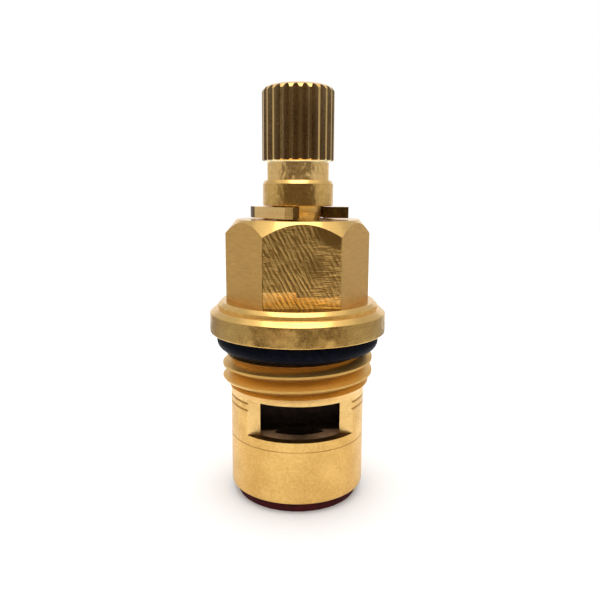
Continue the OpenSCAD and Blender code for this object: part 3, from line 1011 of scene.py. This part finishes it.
# %% Mill the tongue, add the wings and tap the hole
TONGUE_HALF = 2.2
KEY_HALF = 1.5
KEY_TOP = 9.79
WING_R = 7.85
WING_ANGLE = 58
WING_ROOT = 1
TAP_PITCH = 0.8
TAP_DEPTH = 8.6
TAP_TURNS = 12
TAP_STEPS = 48
TAP_SECTION = [(HOLE_R - 0.2, 0.36), (HOLE_R + 0.36, 0.05)]
for angle in (90, -90):
    machine(spindle, cutter(TONGUE_HALF, 0, FOOT_Z, angle))
    machine(spindle, cutter(KEY_HALF, 0, KEY_TOP, angle))
for angle in (45, 225):
    wing = sector("wing", FOOT_R - WING_ROOT, WING_R, FOOT_Z + HAIR, FOOT_TOP - HAIR, WING_ANGLE, angle)
    machine(spindle, wing, "UNION")
tap = helix_cutter("tap", TAP_SECTION, TAP_PITCH, 0, SPINDLE_TOP - TAP_DEPTH, TAP_TURNS, TAP_STEPS)
machine(spindle, tap)
print("finished spindle:", len(spindle.data.polygons), "faces")

# %% [markdown]
# The tongue shows almost black in the window, where it lies in deep shade, so it gets a dark, dull finish
# that paints that shade. Above the foot the brass is bright, but not all alike: the crests of the teeth are
# smooth, the sides between them are painted brown as shade between the teeth, the neck is uneven, and the
# narrow faces of chamfers and grooves catch the light. Under the teeth and in the clip's groove they also
# get a whiter brass, a painted highlight. One finish for all would be quicker, but these differences are
# what tells the steps of the spindle apart.

# %% Finish the spindle
def on_teeth(centre, normal):
    """A test for the upright faces of the teeth."""
    return centre.z > SPLINE_Z and abs(normal.z) < 0.3 and centre.to_2d().length > HOLE_R + 1


def on_flanks(centre, normal):
    """A test for the sides of the teeth, which face away from the radius through them."""
    outward = Vector((centre.x, centre.y, 0)).normalized()
    return on_teeth(centre, normal) and normal.dot(outward) < 0.9


# Painted shade: the tongue and the foot are coloured almost black, for the deep shade inside the chamber.
painted_shade_brass = dull_finish("painted_shade_brass", (0.03, 0.012, 0.007), (0.012, 0.005, 0.003), 0.5, 0.02,
                           metallic=0.6)
spindle.data.materials.append(spindle_brass)
paint(spindle, bevel_brass, band(NECK_Z - 0.5, NECK_Z, least=0.2, most=0.8))
paint(spindle, bevel_brass, band(SPINDLE_TOP - TOP_CHAMFER, SPINDLE_TOP + 1, least=0.5))
paint(spindle, neck_brass, band(NECK_Z, SPLINE_Z + 0.1, most=0.5))
# Painted highlight: the faces under the teeth and in the clip's groove get a whiter brass.
paint(spindle, painted_glint_brass, band(SPLINE_Z - 0.3, SPLINE_Z + 0.3, most=-0.1))
paint(spindle, painted_glint_brass, band(CLIP_GROOVE_Z, COLLAR_Z - 0.1))
paint(spindle, crest_brass, on_teeth)
# The sides of the teeth get the painted shade.
paint(spindle, shaded_flank_brass, on_flanks)
# The foot and the tongue get the painted shade.
paint(spindle, painted_shade_brass, band(0, FOOT_TOP))
hand_over(spindle, "spindle", "spindle")

# %% [markdown]
# ## Retaining clip
# The clip is stamped from sheet as a horseshoe and snaps into the groove. Its outline is drawn and extruded
# to the sheet's thickness, the hole is cut, and the edges get the small rounding that stamping leaves. A
# thick curve would be quicker, but its section is round, and the clip has flat sides. Each arm ends in a
# small nose, painted a little darker than its side as painted shade. The sheared ends and the cut corners
# at the back are painted almost black, as painted shade.

# %% Stamp the clip
CLIP_Z = 38.25
CLIP_T = 1.47
CLIP_ARM = 5.05
CLIP_TIP = 5.1
CLIP_BACK = 5.3
# Along the arm and across it.
CLIP_NOSE = (1.1, 0.5)
CLIP_CORNER = (2.4, 0.9)
CLIP_HOLE_R = 3.55
CLIP_TURN = -57
CLIP_FLARE = math.radians(50)
CLIP_ROUND = 0.12
CLIP_ROUND_STEPS = 3
NOSE_SHADE_TONES = ((0.72, 0.44, 0.15, 1), (0.48, 0.29, 0.09, 1))


def stamp_clip():
    """The horseshoe, opening along the clip's turn."""
    tip_half = CLIP_ARM - CLIP_NOSE[1]
    notch = CLIP_TIP - tip_half / math.tan(CLIP_FLARE)
    nose = [(CLIP_TIP, tip_half), (CLIP_TIP - CLIP_NOSE[0], CLIP_ARM)]
    half = nose + [(CLIP_CORNER[0] - CLIP_BACK, CLIP_ARM), (-CLIP_BACK, CLIP_ARM - CLIP_CORNER[1])]
    other = [(x, -y) for x, y in reversed(half)]
    outline = [(x, y, CLIP_Z) for x, y in half + other + [(notch, 0)] + half[:1]]
    piece = draw("retaining_clip_brass", outline)
    bpy.ops.mesh.edge_face_add()
    bpy.ops.mesh.extrude_region_move(TRANSFORM_OT_translate={"value": (0, 0, CLIP_T)})
    close_up()
    low, high = CLIP_Z - 1, CLIP_Z + CLIP_T + 1
    hole = [(0, low, 0), (CLIP_HOLE_R, low, 0), (CLIP_HOLE_R, high, 0), (0, high, 0)]
    machine(piece, lathe("clip_hole", hole, closed=False))
    bevel = piece.modifiers.new("stamped edges", "BEVEL")
    bevel.width = CLIP_ROUND
    bevel.segments = CLIP_ROUND_STEPS
    apply_modifier(piece, bevel)
    return turn_piece(piece, CLIP_TURN)


clip = stamp_clip()
opening = Vector((math.cos(math.radians(CLIP_TURN)), math.sin(math.radians(CLIP_TURN)), 0))
# Painted shade: the sheared ends and the cut corners are coloured almost black.
shaded_end_brass = dull_finish("shaded_end_brass", (0.15, 0.085, 0.02), (0.08, 0.04, 0.01), 0.4, 0.03,
                            metallic=0.9)
# Painted shade: the noses get a darker brass than the sides of the arms.
shaded_nose_brass = turned_finish("shaded_nose_brass", 0.3, 0.0006, 0.1, 0.5, 0.9, tones=NOSE_SHADE_TONES)
clip.data.materials.append(clip_brass)


def leaning(*leans):
    """A test for upright faces that lean towards the clip's opening by one of the given amounts."""

    def test(centre, normal):
        lean = normal.dot(opening)
        return abs(normal.z) < 0.05 and min(abs(lean - wanted) for wanted in leans) < 0.04

    return test


# The sheared ends and the cut corners get the painted shade.
paint(clip, shaded_end_brass, leaning(math.sin(CLIP_FLARE), -CLIP_CORNER[1] / math.hypot(*CLIP_CORNER)))
# The noses get the painted shade.
paint(clip, shaded_nose_brass, leaning(CLIP_NOSE[1] / math.hypot(*CLIP_NOSE)))
hand_over(clip, "spindle", "retaining_clip")

# %% [markdown]
# ## Rubber rings
# The ring under the flange is a round cord that is pressed a little flat against the flange. The seal
# below the barrel is a moulded ring of dark red rubber. A torus would be quicker for the first, but it
# can't be flat on one side, so both are turned from outlines with large fillets.

# %% Mould the sealing ring and the seal
RING_LOW = 20.56
RING_HIGH = 23.08
RING_INNER = 8.64
RING_OUTER = 11.1
SEAL_INNER = 6.2
SEAL_LIP = 8.4
SEAL_UPPER = 7.95
SEAL_TOP = 2.84

ring = lathe("body_o_ring_rubber", [
    (RING_INNER, RING_LOW, 1.15),
    (RING_OUTER, RING_LOW, 1.22),
    (RING_OUTER, RING_HIGH, 1.2),
    (RING_INNER, RING_HIGH, 1.15),
])
seal = lathe("seat_seal_rubber", [
    (SEAL_INNER, 0, 0.15),
    (SEAL_LIP, 0, 0.2),
    (SEAL_LIP, BARREL_Z, 0.1),
    (SEAL_UPPER, BARREL_Z, 0),
    (SEAL_UPPER, SEAL_TOP, 0.15),
    (SEAL_INNER, SEAL_TOP, 0.15),
])
black_rubber = dull_finish("black_rubber", (0.004, 0.005, 0.010), (0.002, 0.0025, 0.005), 0.4, 0.01,
                           shine=0.03)
red_rubber = dull_finish("red_rubber", (0.06, 0.006, 0.008), (0.035, 0.004, 0.005), 0.5, 0.02, shine=0.07)
ring.data.materials.append(black_rubber)
seal.data.materials.append(red_rubber)
hand_over(ring, "body", "body_o_ring")
hand_over(seal, "body", "seat_seal")

# %% [markdown]
# ## Pieces inside
# The discs, the support ring, the washer and the spindle's rings keep their imported shape, because only a
# little of them shows through the windows and the inlet. They still get a finish of their own. The moving
# disc has a cross of painted shade, along the tongue and along the line through the windows.

# %% Finish the pieces inside
# Axis, where the painted shade starts to fade and where it ends, and the share of the colour that it
# leaves.
PAINTED_SHADE_CROSS = (("Y", 3.9, 4.4, 0.08), ("X", 0.5, 3.2, 0.35))

dark_ceramic = dull_finish("dark_ceramic", (0.42, 0.25, 0.13), (0.30, 0.18, 0.10), 0.3, 0.004, shine=0.3,
                           painted_shade_bands=PAINTED_SHADE_CROSS)
white_ceramic = dull_finish("white_ceramic", (0.70, 0.68, 0.63), (0.62, 0.60, 0.55), 0.3, 0.004)
support_plastic = dull_finish("support_plastic", (0.07, 0.07, 0.075), (0.05, 0.05, 0.055), 0.45, 0.01)
washer_plastic = dull_finish("washer_plastic", (0.68, 0.65, 0.55), (0.60, 0.57, 0.47), 0.4, 0.01)
inside = {
    "moving_disc": dark_ceramic,
    "fixed_disc": white_ceramic,
    "seal_support_ring": support_plastic,
    "thrust_washer": washer_plastic,
    "lower_spindle_o_ring": black_rubber,
    "upper_spindle_o_ring": black_rubber,
}
for node, material in inside.items():
    mesh = bpy.data.objects[node].data
    mesh.materials.clear()
    mesh.materials.append(material)
print("finished inside:", ", ".join(inside))
